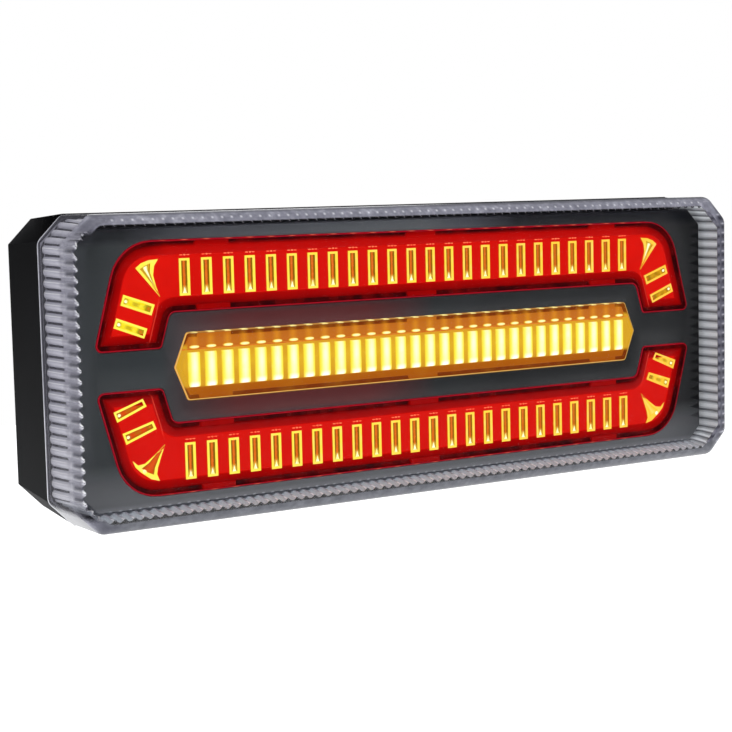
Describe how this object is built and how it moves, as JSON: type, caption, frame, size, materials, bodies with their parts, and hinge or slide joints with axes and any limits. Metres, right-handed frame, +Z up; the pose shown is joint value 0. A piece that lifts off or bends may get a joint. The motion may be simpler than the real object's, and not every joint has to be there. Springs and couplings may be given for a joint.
{
  "type": "trailer tail light",
  "caption": "Rectangular trailer rear lamp with a fluted clear cover, two lit red C-shaped light bands around an amber turn bar, black housing and rear mounting studs.",
  "frame": {"origin": "centre of the flat mounting face at the back of the housing", "axes": "+X to the right seen from the front, +Y out of the back of the lamp towards the vehicle, +Z up; the light shines towards -Y"},
  "size_m": [0.236, 0.076, 0.0868],
  "materials": {
    "housing_black": "fine moulded grain",
    "cover_clear": "clear polished plastic",
    "seal_black": "matt",
    "bezel_grey": "smooth dark grey",
    "lens_red": "clear red",
    "lens_amber": "clear amber",
    "guide_red": "clear, lit",
    "guide_amber": "clear, lit",
    "tray_white": "white, diffuse",
    "board_green": "solder mask",
    "led_red": "lit",
    "led_amber": "lit",
    "chip_black": "moulded",
    "capacitor_can": "smooth",
    "inductor_dark": "ferrite",
    "resistor_dark": "ceramic chip",
    "header_cream": "moulded",
    "wire_sheath": "smooth sheath",
    "inlet_black": "moulded",
    "pin_brass": "plated",
    "vent_black": "moulded",
    "membrane_white": "felt-like",
    "zinc_steel": "zinc plated"
  },
  "bodies": {
    "lamp": {"rear_housing": "housing_black", "outer_lens": "cover_clear", "lens_gasket": "seal_black", "bezel": "bezel_grey", "red_lens_upper": "lens_red", "red_lens_lower": "lens_red", "amber_lens": "lens_amber", "light_guide_upper": "guide_red", "light_guide_lower": "guide_red", "light_guide_amber": "guide_amber", "reflector_tray": "tray_white", "circuit_board": "board_green", "red_leds_upper": "led_red", "red_leds_lower": "led_red", "amber_leds": "led_amber", "driver_chips": "chip_black", "capacitors": "capacitor_can", "inductors": "inductor_dark", "chip_resistors": "resistor_dark", "board_header": "header_cream", "inner_wires": "wire_sheath", "inlet_socket": "inlet_black", "inlet_pins": "pin_brass", "inlet_seal": "seal_black", "vent_plug": "vent_black", "vent_membrane": "membrane_white", "stud_left": "zinc_steel", "stud_right": "zinc_steel", "board_screws": "zinc_steel"},
    "washer_left": {"washer_left": "zinc_steel"},
    "nut_left": {"nut_left": "zinc_steel"},
    "washer_right": {"washer_right": "zinc_steel"},
    "nut_right": {"nut_right": "zinc_steel"}
  },
  "joints": [
    {"name": "nut_left_travel", "type": "slide", "parent": "lamp", "child": "washer_left", "axis": [0, 1, 0], "range_m": [-0.0105, 0.004]},
    {"name": "nut_left_turn", "type": "hinge", "parent": "washer_left", "child": "nut_left", "pos_m": [-0.076, 0.016, 0], "axis": [0, 1, 0], "range_deg": [-3785, 1445]},
    {"name": "nut_right_travel", "type": "slide", "parent": "lamp", "child": "washer_right", "axis": [0, 1, 0], "range_m": [-0.0105, 0.004]},
    {"name": "nut_right_turn", "type": "hinge", "parent": "washer_right", "child": "nut_right", "pos_m": [0.076, 0.016, 0], "axis": [0, 1, 0], "range_deg": [-3785, 1445]}
  ],
  "couplings": [
    {"joint": "nut_left_turn", "follows": "nut_left_travel", "rad_per_m": 6283.2},
    {"joint": "nut_right_turn", "follows": "nut_right_travel", "rad_per_m": 6283.2}
  ]
}
